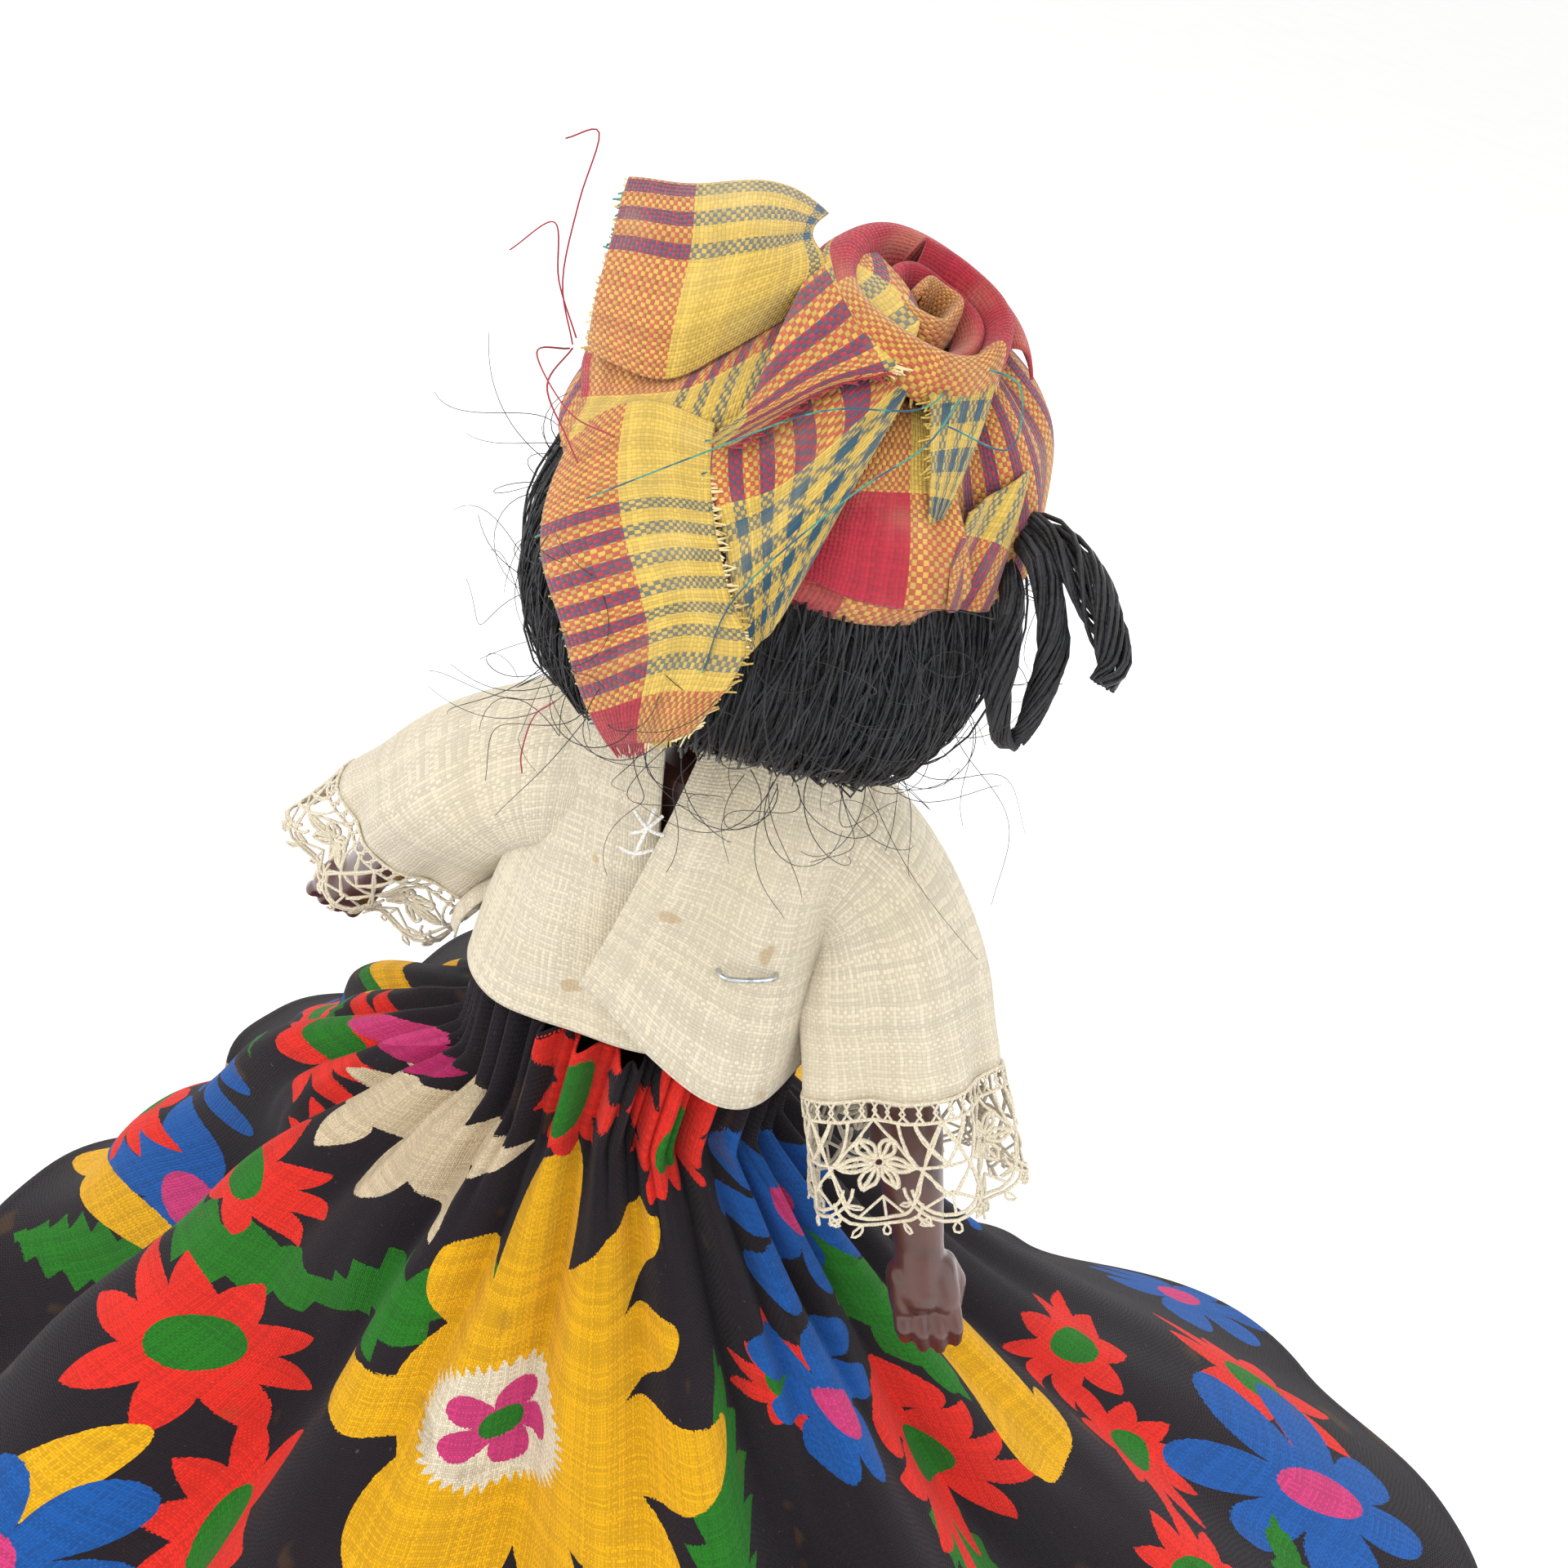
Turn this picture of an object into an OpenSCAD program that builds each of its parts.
// Dressed folk doll: a hollow hard-plastic body with a turning head, swinging arms and sleeping
// eyes, in a checked head scarf, a cream blouse with lace cuffs and a wide gathered skirt.
// Millimetres, +Z up, the doll faces -Y. The origin is the centre of the skirt's hem on the floor.

/* [Body] */
// Height of the waist above the soles
waist_z = 100; // [85:1:120]
// Height of the shoulder axis above the waist
shoulder_rise = 33; // [29:1:40]
// Height of the torso's top above the waist
torso_rise = 41; // [38:1:50]
// Width of the torso across the shoulders
torso_w = 28; // [25:0.2:34]
// Depth of the torso as a share of its width
torso_flat = 0.78; // [0.7:0.01:0.95]
// Wall of the moulded plastic shells
wall = 1.6; // [1.2:0.1:2.2]
// Distance between the two legs' centre lines
leg_pitch = 14.4; // [13.8:0.2:18]
// Radius of the thigh
thigh_r = 6.6; // [5.5:0.1:7]

/* [Neck] */
// Radius of the neck
neck_r = 4.6; // [3.8:0.1:5.4]
// Radial clearance of every turning joint
run_gap = 0.3; // [0.2:0.05:0.4]
// How far the neck's and pegs' flanges stand out of their shafts
flange_lip = 1.6; // [1.2:0.1:2]
// Thickness of the flanges
flange_t = 1.6; // [1.2:0.1:2.4]

/* [Arms] */
// Radius of the peg that an arm turns on
peg_r = 2.2; // [1.8:0.1:2.8]
// Radius of the ball at the top of an arm
shoulder_r = 5.6; // [5:0.1:6.5]
// Length of an arm from its peg to the finger tips
arm_len = 61; // [52:1:72]
// Outward slope of an arm from the vertical
arm_splay = 24; // [23:1:38]
// How far the right arm hangs back of the vertical
right_back = 20; // [0:1:35]
// How far the left arm hangs forward of the vertical
left_forward = 25; // [0:1:45]

/* [Head] */
// Radius of the skull
skull_r = 18; // [16:0.5:22]
// Height of the skull's centre above the torso's top
skull_rise = 27; // [25:0.5:34]
// Radius of the jaw
jaw_r = 12; // [10:0.5:14]
// Radius of an eyeball
eye_r = 3.4; // [2.8:0.1:4]
// Distance between the eyes' centres
eye_pitch = 13; // [11:0.5:15]

/* [Hair and scarf] */
// Thickness of the glued hair
hair_t = 3; // [2:0.1:4]
// Thickness of the folded scarf cloth
scarf_t = 2; // [1:0.1:2.4]
// Radius of the scarf's knot
knot_r = 8; // [6:0.5:10]

/* [Blouse] */
// Thickness of one layer of the blouse
blouse_t = 1; // [0.8:0.1:1.4]
// Gap between the torso and the blouse, and between two layers of cloth
cloth_gap = 0.4; // [0.3:0.05:0.6]
// Half the width of a sleeve at its cuff
sleeve_r = 9.4; // [8:0.1:10.5]
// Length of a sleeve from the shoulder to the lace
sleeve_len = 27; // [24:1:40]
// Height of the lace on a cuff
lace_h = 17; // [10:0.5:19]

/* [Skirt] */
// Radius of the skirt's hem
hem_r = 125; // [100:1:150]
// How far the hem's centre lies to the doll's right of its waist
sweep_x = 27; // [0:1:35]
// How far the hem's centre lies in front of its waist
sweep_y = 20; // [0:1:30]
// Thickness of the skirt's solid
skirt_t = 1.4; // [1:0.1:2]
// How late the skirt flares: 1 is a straight cone
flare = 1.4; // [1.3:0.05:1.7]
// Height of the waistband
band_h = 5; // [4:0.5:7]
// Thickness of the waistband
band_t = 1.8; // [1.4:0.1:2.4]

/* [Hidden] */
$fn = 48;
hull_fn = 28;
far = 400;
clear_up = 40;
touch = 0.02;

// Key places on the doll's own axis
shoulder_z = waist_z + shoulder_rise;
torso_top = waist_z + torso_rise;
skull_z = torso_top + skull_rise;
boss_stand = 0.6;
boss_depth = 4;
boss_wall = 2.8;
flange_gap = 0.4;
flange_room = 0.5;
shoulder_face = torso_w / 2 + boss_stand;
arm_face = shoulder_face + flange_gap;
boss_in = shoulder_face - boss_depth;
boss_r = peg_r + boss_wall;
arm_root = arm_face + shoulder_r * 0.8;
sleeve_face = arm_face + 0.2;
blouse_face = sleeve_face - cloth_gap;
armhole_r = max(boss_r, shoulder_r) + cloth_gap;

// The head
jaw_y = -5;
jaw_z = skull_z - 10.5;
nose_r = 1.9;
nose_drop = 6.5;
nose_sink = 0.2;
eye_sink = 4.4;
eye_y = -(skull_r - eye_sink);
eye_z = skull_z - 2;
eye_gap = 0.2;
yoke_w = 3;
yoke_h = 4.8;
axle_r = 0.8;
weight_arm_r = 0.5;
weight_r = 2.2;
weight_len = 7.5;
hair_r = skull_r + hair_t;
hairline_y = 7;
hairline_rise = 8;
hair_neck_gap = 2;
scarf_in = hair_r + touch;
scarf_out = scarf_in + scarf_t;
tail_in = scarf_out + touch;
tail_t = 1.4;
scarf_edge_z = skull_z + 4;
scarf_tilt = 14;

// Skin colours and cloth colours
skin = [0.20, 0.10, 0.08];
cream = [0.90, 0.86, 0.76];
hair_black = [0.03, 0.03, 0.04];
scarf_gold = [0.88, 0.68, 0.24];
scarf_red = [0.72, 0.10, 0.18];
print_dark = [0.13, 0.09, 0.13];

// Half-width of the torso at heights above the waist, from the seat to the neck
torso_outline = [
    [0, -26], [9, -25], [13.2, -19], [14, -12], [torso_w / 2 - 2.2, 0], [torso_w / 2 - 0.8, 14],
    [torso_w / 2, 24], [torso_w / 2, shoulder_rise], [torso_w / 2 - 3.2, torso_rise - 0.8],
    [torso_w / 2 - 4.6, torso_rise], [0, torso_rise]
];
// Radius of a leg at heights above the sole
leg_outline = [
    [0, 0], [3.6, 0], [3.4, 12], [4.9, 30], [4.3, 46], [5.9, 60], [thigh_r, waist_z - 24],
    [0, waist_z - 18]
];

// Puts a child on the doll's axis, which stands off the centre of the hem
module on_axis() {
    translate([sweep_x, sweep_y, 0]) children();
}

// The side of the plane Y = 0 that a half shell keeps: -1 is the front, 1 the back
module half(side) {
    translate([-far / 2, side > 0 ? 0 : -far, -far / 2]) cube([far, far, 2 * far]);
}

// A solid as flat as the torso around its upright axis, grown or shrunk by grow
module torso_form(grow) {
    translate([0, 0, waist_z]) scale([1, torso_flat, 1]) rotate_extrude()
        intersection() {
            offset(delta = grow) mirrored_outline();
            translate([0, -far / 2]) square([far, far]);
        }
}

module mirrored_outline() {
    polygon(torso_outline);
    mirror([1, 0]) polygon(torso_outline);
}

module leg_form(grow) {
    rotate_extrude() intersection() {
        offset(delta = grow) union() {
            polygon(leg_outline);
            mirror([1, 0]) polygon(leg_outline);
        }
        translate([0, max(0, -grow)]) square([far, far]);
    }
}

module foot() {
    foot_r = 3.6;
    intersection() {
        hull() {
            translate([0, 2, foot_r - 0.4]) sphere(foot_r, $fn = hull_fn);
            translate([0, -9, foot_r - 1.2]) sphere(foot_r, $fn = hull_fn);
        }
        translate([-far / 2, -far / 2, 0]) cube(far);
    }
}

module shoulder_boss(side) {
    translate([side * boss_in, 0, shoulder_z]) rotate([0, side * 90, 0]) cylinder(r = boss_r, h = boss_depth);
}

module shoulder_bore(side) {
    room = flange_t + 2 * flange_gap;
    translate([side * (boss_in - room), 0, shoulder_z]) rotate([0, side * 90, 0]) {
        cylinder(r = peg_r + run_gap, h = clear_up);
        cylinder(r = peg_r + flange_lip + flange_room, h = room);
    }
}

module body_half(side) {
    color(skin) on_axis() intersection() {
        half(side);
        difference() {
            union() {
                difference() {
                    union() {
                        torso_form(0);
                        for (s = [-1, 1]) translate([s * leg_pitch / 2, 0, 0]) {
                            leg_form(0);
                            foot();
                        }
                    }
                    torso_form(-wall);
                    for (s = [-1, 1]) translate([s * leg_pitch / 2, 0, 0]) leg_form(-wall);
                }
                for (s = [-1, 1]) shoulder_boss(s);
            }
            for (s = [-1, 1]) shoulder_bore(s);
            translate([0, 0, torso_top - 3 * wall]) cylinder(r = neck_r + run_gap, h = clear_up);
        }
    }
}

module torso_front() { body_half(-1); }
module torso_back() { body_half(1); }

// The neck: a plug glued into the head, with a flange that snaps in under the torso's top
module neck_plug() {
    flange_top = torso_top - wall - flange_gap;
    color(skin) on_axis() {
        translate([0, 0, flange_top - flange_t]) cylinder(r = neck_r + flange_lip, h = flange_t);
        translate([0, 0, flange_top - flange_t])
            cylinder(r = neck_r, h = skull_z - skull_r + wall + 2 - flange_top + flange_t);
    }
}

module head_form(grow) {
    translate([0, 0, skull_z]) sphere(skull_r + grow);
    translate([0, jaw_y, jaw_z]) sphere(jaw_r + grow);
}

module head_shell() {
    difference() {
        union() {
            head_form(0);
            translate([0, -skull_r + nose_sink, skull_z - nose_drop]) sphere(nose_r);
        }
        head_form(-wall);
        for (s = [-1, 1]) translate([s * eye_pitch / 2, eye_y, eye_z]) sphere(eye_r + eye_gap);
        translate([0, 0, torso_top]) cylinder(r = neck_r, h = skull_rise);
    }
}

module head_front() {
    color(skin) on_axis() intersection() {
        head_shell();
        half(-1);
    }
}

module head_back() {
    color(skin) on_axis() intersection() {
        head_shell();
        half(1);
    }
}

// The bracket behind the nose that the eyes' axle turns in
module eye_yoke() {
    color("dimgray") on_axis() difference() {
        intersection() {
            translate([-yoke_w / 2, -skull_r, eye_z - yoke_h / 2])
                cube([yoke_w, skull_r + eye_y + yoke_h / 2, yoke_h]);
            translate([0, 0, skull_z]) sphere(skull_r - wall - touch);
        }
        translate([-yoke_w, eye_y, eye_z]) rotate([0, 90, 0]) cylinder(r = axle_r + run_gap, h = 2 * yoke_w);
    }
}

module eyeball(side) {
    color("white") on_axis() difference() {
        translate([side * eye_pitch / 2, eye_y, eye_z]) sphere(eye_r);
        translate([side * eye_pitch / 2, eye_y, eye_z]) rotate([0, -side * 90, 0])
            cylinder(r = axle_r + touch, h = 2 * eye_r);
    }
}

module left_eye() { eyeball(1); }
module right_eye() { eyeball(-1); }

// The wire that joins the eyes, with the arm that carries the weight
weight_at = [0, 6.5, -9];
weight_arm_x = yoke_w / 2 + run_gap + weight_arm_r;

module weight_arm() {
    translate([weight_arm_x, 0, 0]) rotate([atan2(weight_at[1], -weight_at[2]), 0, 0])
        translate([0, 0, -norm(weight_at)]) cylinder(r = weight_arm_r, h = norm(weight_at));
}

module eye_axle() {
    color("silver") on_axis() translate([0, eye_y, eye_z]) {
        translate([-eye_pitch / 2, 0, 0]) rotate([0, 90, 0]) cylinder(r = axle_r, h = eye_pitch);
        weight_arm();
    }
}

module eye_weight() {
    color("gray") on_axis() translate([0, eye_y, eye_z]) difference() {
        translate(weight_at) rotate([0, 90, 0]) cylinder(r = weight_r, h = weight_len, center = true);
        weight_arm();
    }
}

// Hair glued over the skull, open at the face, with a clear hole for the neck
module wig() {
    color(hair_black) on_axis() difference() {
        translate([0, 0, skull_z]) sphere(hair_r);
        head_form(touch);
        translate([-far / 2, -hairline_y - far, 0]) cube([far, far, skull_z + hairline_rise]);
        translate([0, 0, waist_z]) cylinder(r = neck_r + hair_neck_gap, h = skull_z - waist_z);
    }
}

// Ring of points round a path's point, square to the path
function unit(v) = v / norm(v);
function path_dir(path, i) = unit(path[min(i + 1, len(path) - 1)] - path[max(i - 1, 0)]);
function ring(path, radii, i, sides) =
    let (d = path_dir(path, i), a = unit(cross(d, [0, 1, 0.05])), b = cross(d, a))
    [for (k = [0:sides - 1]) path[i] + radii[i] * (cos(360 * k / sides) * a + sin(360 * k / sides) * b)];

// A closed tube along a path, with its own radius at each point
module tube(path, radii, sides = 10) {
    n = len(path);
    points = [for (i = [0:n - 1]) each ring(path, radii, i, sides)];
    walls = [for (i = [0:n - 2], k = [0:sides - 1]) each let (m = (k + 1) % sides) [
        [i * sides + k, (i + 1) * sides + m, i * sides + m],
        [i * sides + k, (i + 1) * sides + k, (i + 1) * sides + m]
    ]];
    ends = [[for (k = [0:sides - 1]) k], [for (k = [sides - 1:-1:0]) (n - 1) * sides + k]];
    polyhedron(points, concat(walls, ends), convexity = 6);
}

// Two hanging locks at the doll's right side: a thick one, and one that is turned up in a loop
lock_sink = 1;
lock_top = [-hair_r + lock_sink, -1, skull_z + 1];
outer_path = [[0, 0, 0], [-4, 0.5, -0.6], [-9, 1, -3.2], [-13.5, 1, -7.5], [-16.5, 1, -12], [-17, 1, -15]];
outer_radii = [1.7, 1.9, 2.1, 2.3, 2.2, 1.3];
loop_path = [[0, 0, -6], [-3.5, 0.5, -9], [-7.5, 1, -15], [-10, 1, -20], [-12, 1, -21.4],
             [-13.6, 1, -19.6], [-13.3, 1, -16]];
loop_radii = [1.5, 1.6, 1.6, 1.6, 1.5, 1.4, 1.2];

module lock(path, radii) {
    color(hair_black) on_axis() difference() {
        translate(lock_top) tube(path, radii);
        translate([0, 0, skull_z]) sphere(hair_r + touch);
    }
}

module hair_lock_outer() { lock(outer_path, outer_radii); }
module hair_lock_loop() { lock(loop_path, loop_radii); }

// Checked cloth drawn tight over the crown, lower at the back than at the brow
module scarf_wrap() {
    color(scarf_gold) on_axis() difference() {
        translate([0, 0, skull_z]) sphere(scarf_out);
        translate([0, 0, skull_z]) sphere(scarf_in);
        translate([0, 0, scarf_edge_z]) rotate([-scarf_tilt, 0, 0]) translate([-far / 2, -far / 2, -far])
            cube([far, far, far]);
    }
}

// Rolled knot on the upper back of the head; places on the scarf are shares of its radius
knot_at = [0, 0, skull_z] + scarf_out * [-0.275, 0.642, 0.688];
module scarf_knot() {
    color(scarf_red) on_axis() difference() {
        translate(knot_at) sphere(knot_r);
        translate([0, 0, skull_z]) sphere(scarf_out + touch);
    }
}

// The wide wing of cloth that stands off the upper left of the head
flap_t = 4.8;
module scarf_flap() {
    color(scarf_gold) on_axis() difference() {
        hull() {
            for (p = [[0.18, 0.55, 1.05], [0.32, 0.6, 0.6], [1.01, 0.41, 0.96], [0.96, 0.41, 0.37]])
                translate([0, 0, skull_z] + scarf_out * p) sphere(flap_t / 2, $fn = hull_fn);
        }
        translate([0, 0, skull_z]) sphere(tail_in + tail_t + touch);
        translate(knot_at) sphere(knot_r + touch);
    }
}

// A layer of cloth that lies over the back of the head and hangs straight down below it
module hanging_form(r, drop) {
    sphere(r);
    translate([0, 0, -drop]) cylinder(r = r, h = drop);
}

module hanging_layer(inner, thick) {
    hang = 30;
    translate([0, 0, skull_z]) difference() {
        hanging_form(inner + thick, hang);
        hanging_form(inner, hang + 1);
    }
}

// A prism from the doll's back, cut to an outline seen from behind, in shares of the scarf's radius
module back_outline(points) {
    translate([0, far / 2, skull_z]) rotate([90, 0, 0]) linear_extrude(far / 2) polygon(scarf_out * points);
}

module scarf_tail_long() {
    color(scarf_gold) on_axis() difference() {
        intersection() {
            hanging_layer(tail_in, tail_t);
            back_outline([[0.82, 0.37], [0.8, -0.18], [0.6, -0.73], [0.37, -0.87], [0.14, -0.8],
                [-0.18, -0.28], [-0.44, 0.37], [0.18, 0.41]]);
        }
        translate(knot_at) sphere(knot_r + touch);
    }
}

module scarf_tail_short() {
    color(scarf_gold) on_axis() difference() {
        intersection() {
            hanging_layer(tail_in + tail_t + touch, tail_t);
            back_outline([[-0.09, 0.69], [-0.23, 0.39], [0.32, 0.11], [0.34, 0.23], [0.09, 0.55]]);
        }
        translate(knot_at) sphere(knot_r + touch);
    }
}

// Puts an arm's child at its shoulder, swung to where it hangs; side 1 is the left
module at_shoulder(side) {
    swing = side > 0 ? -left_forward : right_back;
    on_axis() translate([0, 0, shoulder_z]) rotate([swing, 0, 0]) children();
}

// A place along the arm's sloping line, measured from the shoulder ball
function arm_at(side, along, y = 0) =
    [side * (arm_root + along * sin(arm_splay)), y, -along * cos(arm_splay)];

module limb(side, from, to, r_from, r_to) {
    hull() {
        translate(arm_at(side, from)) sphere(r_from, $fn = hull_fn);
        translate(arm_at(side, to)) sphere(r_to, $fn = hull_fn);
    }
}

// Keeps what lies outside an upright plane on one side of the doll
module beyond(side, x) {
    intersection() {
        children();
        translate([side > 0 ? x : -x - far, -far / 2, -far / 2]) cube(far);
    }
}

elbow = arm_len * 0.42;
wrist = arm_len * 0.76;
module arm(side) {
    flange_in = boss_in - flange_gap - flange_t;
    color(skin) at_shoulder(side) {
        beyond(side, arm_face) union() {
            limb(side, 0, elbow, shoulder_r, 4);
            limb(side, elbow, wrist, 4, 2.8);
            hull() {
                translate(arm_at(side, wrist)) sphere(2.8, $fn = hull_fn);
                translate(arm_at(side, arm_len - 7, -1.5)) sphere(2.6, $fn = hull_fn);
                translate(arm_at(side, arm_len - 7, 1.5)) sphere(2.6, $fn = hull_fn);
            }
            hull() {
                translate(arm_at(side, arm_len - 7)) sphere(2.4, $fn = hull_fn);
                translate(arm_at(side, arm_len - 2, -1)) sphere(1.8, $fn = hull_fn);
            }
            hull() {
                translate(arm_at(side, wrist + 2, -2)) sphere(1.4, $fn = hull_fn);
                translate(arm_at(side, arm_len - 6, -4.5)) sphere(1.2, $fn = hull_fn);
            }
        }
        translate([side * flange_in, 0, 0]) rotate([0, side * 90, 0]) {
            cylinder(r = peg_r, h = arm_face - flange_in + 1);
            cylinder(r = peg_r + flange_lip, h = flange_t);
        }
    }
}

module left_arm() { arm(1); }
module right_arm() { arm(-1); }

// A flat oval plate square to the arm's line, the section of a sleeve
module oval(side, along, r_across, r_deep, t = 0.1) {
    translate(arm_at(side, along)) rotate([0, -side * arm_splay, 0]) linear_extrude(t, center = true)
        scale([1, r_deep / r_across]) circle(r_across, $fn = hull_fn);
}

// An upright oval tube, from its inner half-widths
module oval_ring(rx, ry, t, h) {
    linear_extrude(h) difference() {
        scale([1, (ry + t) / (rx + t)]) circle(rx + t);
        scale([1, ry / rx]) circle(rx);
    }
}

sleeve_t = 1;
sleeve_top = 7.6;
sleeve_deep = 7.2;
module sleeve_form(side, shrink) {
    hull() {
        oval(side, -3, sleeve_top - shrink, sleeve_top - shrink);
        oval(side, sleeve_len / 2, sleeve_r - shrink, sleeve_deep + 0.6 - shrink);
        oval(side, sleeve_len + (shrink > 0 ? 0.2 : 0), sleeve_r - shrink, sleeve_deep - shrink);
    }
}

module sleeve(side) {
    color(cream) at_shoulder(side) beyond(side, sleeve_face) difference() {
        sleeve_form(side, 0);
        sleeve_form(side, sleeve_t);
    }
}

module left_sleeve() { sleeve(1); }
module right_sleeve() { sleeve(-1); }

// The lace edging, a straight oval tube that carries on from the sleeve's mouth
module lace(side) {
    color(cream) at_shoulder(side) translate(arm_at(side, sleeve_len + 0.1 + lace_h))
        rotate([0, -side * arm_splay, 0])
            oval_ring(sleeve_r - sleeve_t, sleeve_deep - sleeve_t, sleeve_t, lace_h);
}

module left_lace() { lace(1); }
module right_lace() { lace(-1); }

// A layer of the blouse: a shell that clears the torso by gap, cut out at the neck and the armholes
neckline_drop = 6;
neckline_w = 3.4;
module blouse_layer(gap) {
    intersection() {
        difference() {
            torso_form(gap + blouse_t);
            torso_form(gap);
            translate([0, 0, torso_top - neckline_drop]) cylinder(r = neck_r + neckline_w, h = clear_up);
            translate([0, 0, shoulder_z]) rotate([0, 90, 0]) cylinder(r = armhole_r, h = far, center = true);
        }
        translate([-blouse_face, -far / 2, waist_z - band_h])
            cube([2 * blouse_face, far, torso_rise + band_h + 10]);
    }
}

module blouse_front() {
    color(cream) on_axis() intersection() {
        blouse_layer(cloth_gap);
        half(-1);
    }
}

// The left half of the back lies under the right half where they cross
cross_over = 5;
module blouse_back_left() {
    color(cream) on_axis() intersection() {
        blouse_layer(cloth_gap);
        half(1);
        translate([-cross_over, -far / 2, 0]) cube(far);
    }
}

module blouse_back_right() {
    color(cream) on_axis() intersection() {
        blouse_layer(cloth_gap + blouse_t + 2 * touch);
        half(1);
        translate([cross_over - far, -far / 2, 0]) cube(far);
    }
}

// Half-width over both layers of the blouse at a height above the waist
outer_layer = cloth_gap + 2 * blouse_t + 2 * touch;
function over_blouse(rise) = lookup(rise, [for (p = torso_outline) [p[1], p[0]]]) + outer_layer;

// Puts a child on the blouse's surface, turned round from the middle of the back, facing outwards
module on_blouse(rise, turn) {
    w = over_blouse(rise);
    translate([-w * sin(turn), w * torso_flat * cos(turn), waist_z + rise])
        rotate([0, 0, atan2(sin(turn) * torso_flat, cos(turn))]) children();
}

// Hand stitches that close the back opening where its two halves cross
stitch_r = 0.3;
module back_stitches() {
    color("white") on_axis() for (s = [0:2])
        on_blouse(torso_rise - 14 - s * 1.8, -12 + s * 5) rotate([90, 0, 0])
            translate([0, 0, -2 * stitch_r]) cylinder(r = stitch_r, h = blouse_t + 2 * stitch_r, $fn = 16);
}

// A wire staple that holds the blouse's layers at the doll's right side
staple_r = 0.3;
staple_w = 5;
staple_leg = 2;
module side_staple() {
    color("silver") on_axis() on_blouse(12, 45) {
        translate([-staple_w / 2, 0, 0]) rotate([0, 90, 0]) cylinder(r = staple_r, h = staple_w, $fn = 16);
        for (s = [-1, 1]) translate([s * (staple_w / 2 - staple_r), 0, 0]) rotate([90, 0, 0])
            cylinder(r = staple_r, h = staple_leg, $fn = 16);
    }
}

// The waistband's clear opening just holds the blouse's outer layer
band_in_x = over_blouse(-band_h) + cloth_gap;
band_in_y = over_blouse(-band_h) * torso_flat + cloth_gap;

module skirt_waistband() {
    color(print_dark) on_axis() translate([0, 0, waist_z - band_h])
        oval_ring(band_in_x, band_in_y, band_t, band_h);
}

// The skirt: an oval at the waistband's foot that grows into the round hem on the floor
skirt_sides = 64;
skirt_rings = 10;
skirt_top = waist_z - band_h - touch;
function skirt_point(t, k, shrink) =
    let (a = 360 * k / skirt_sides, s = pow(t, flare),
         rx = band_in_x + band_t + (hem_r - band_in_x - band_t) * s - shrink,
         ry = band_in_y + band_t + (hem_r - band_in_y - band_t) * s - shrink)
    [sweep_x * (1 - t) + rx * cos(a), sweep_y * (1 - t) + ry * sin(a), skirt_top * (1 - t)];

module skirt() {
    outside = [for (i = [0:skirt_rings], k = [0:skirt_sides - 1])
        skirt_point(i / skirt_rings, k, 0)];
    inside = [for (i = [0:skirt_rings], k = [0:skirt_sides - 1])
        skirt_point(i / skirt_rings, k, skirt_t)];
    count = len(outside);
    function at(i, k, base) = base + i * skirt_sides + k % skirt_sides;
    outer_faces = [for (i = [0:skirt_rings - 1], k = [0:skirt_sides - 1]) each [
        [at(i, k, 0), at(i + 1, k + 1, 0), at(i + 1, k, 0)],
        [at(i, k, 0), at(i, k + 1, 0), at(i + 1, k + 1, 0)]
    ]];
    inner_faces = [for (i = [0:skirt_rings - 1], k = [0:skirt_sides - 1]) each [
        [at(i, k, count), at(i + 1, k, count), at(i + 1, k + 1, count)],
        [at(i, k, count), at(i + 1, k + 1, count), at(i, k + 1, count)]
    ]];
    rims = [for (k = [0:skirt_sides - 1]) each [
        [at(0, k, 0), at(0, k, count), at(0, k + 1, count)],
        [at(0, k, 0), at(0, k + 1, count), at(0, k + 1, 0)],
        [at(skirt_rings, k, 0), at(skirt_rings, k + 1, count), at(skirt_rings, k, count)],
        [at(skirt_rings, k, 0), at(skirt_rings, k + 1, 0), at(skirt_rings, k + 1, count)]
    ]];
    color(print_dark) polyhedron(concat(outside, inside), concat(outer_faces, inner_faces, rims),
        convexity = 4);
}

torso_front();
torso_back();
neck_plug();
head_front();
head_back();
eye_yoke();
left_eye();
right_eye();
eye_axle();
eye_weight();
wig();
hair_lock_outer();
hair_lock_loop();
scarf_wrap();
scarf_knot();
scarf_flap();
scarf_tail_short();
scarf_tail_long();
left_arm();
right_arm();
left_sleeve();
right_sleeve();
left_lace();
right_lace();
blouse_front();
blouse_back_left();
blouse_back_right();
back_stitches();
side_staple();
skirt_waistband();
skirt();
